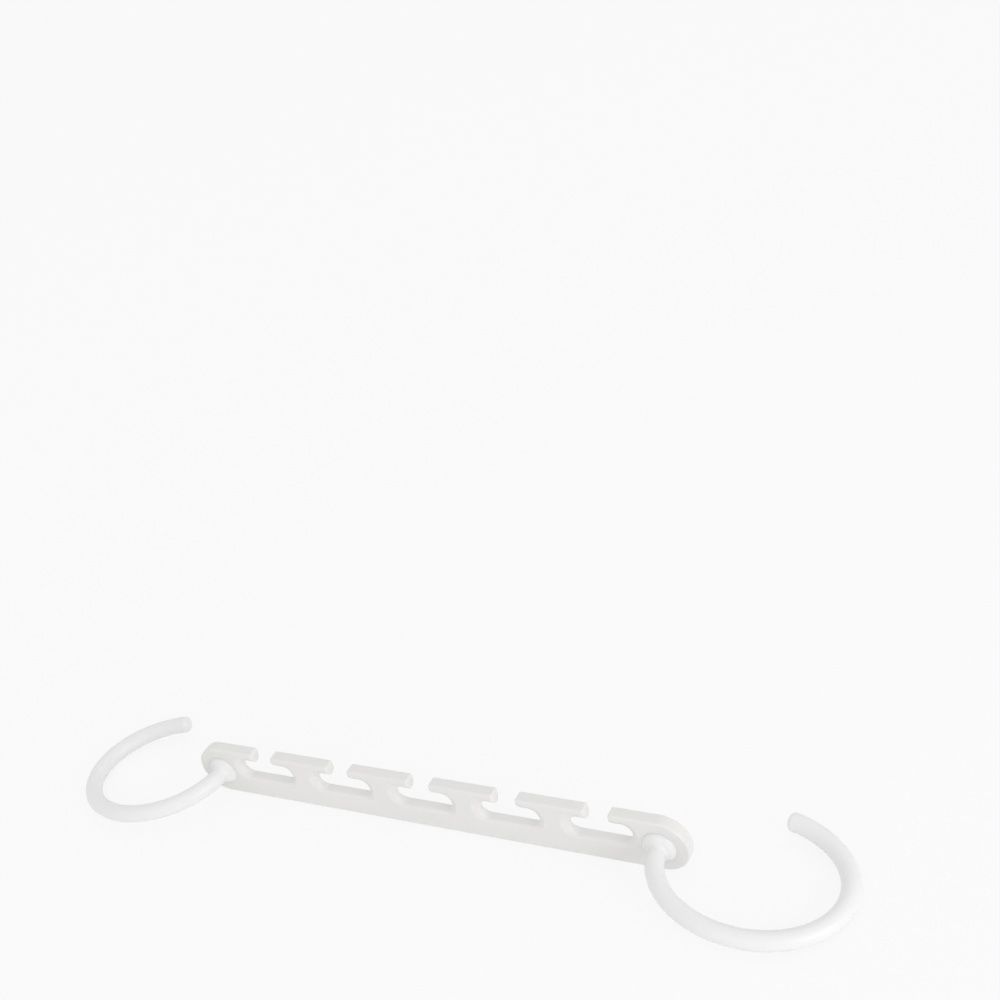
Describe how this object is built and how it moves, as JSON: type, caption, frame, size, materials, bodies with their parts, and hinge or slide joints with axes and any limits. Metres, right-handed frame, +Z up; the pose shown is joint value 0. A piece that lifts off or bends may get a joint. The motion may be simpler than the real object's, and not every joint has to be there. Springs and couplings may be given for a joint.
{
  "type": "cascading clothes hanger",
  "caption": "White plastic cascading clothes hanger: a flat slotted bar with T-shaped heads and an open oval hook that swivels on a pin at each end.",
  "frame": {"origin": "The middle of the bar's bottom edge, on which the hanger stands.", "axes": "+X runs along the bar, +Z points up from the rail to the open heads, and -Y is the face that carries the hooks' collars."},
  "size_m": [0.3974, 0.0735, 0.0268],
  "materials": {
    "bar_plastic": "smooth matte white, slightly warm",
    "hook_plastic": "satin white"
  },
  "bodies": {
    "bar": {"bar": "bar_plastic"},
    "left_hook": {"left_hook": "hook_plastic"},
    "right_hook": {"right_hook": "hook_plastic"}
  },
  "joints": [
    {"name": "left_hook_swivel", "type": "hinge", "parent": "bar", "child": "left_hook", "pos_m": [-0.115, 0, 0.0134], "axis": [0, 1, 0], "range_deg": [-160, 172]},
    {"name": "right_hook_swivel", "type": "hinge", "parent": "bar", "child": "right_hook", "pos_m": [0.115, 0, 0.0134], "axis": [0, -1, 0], "range_deg": [-160, 172]}
  ]
}
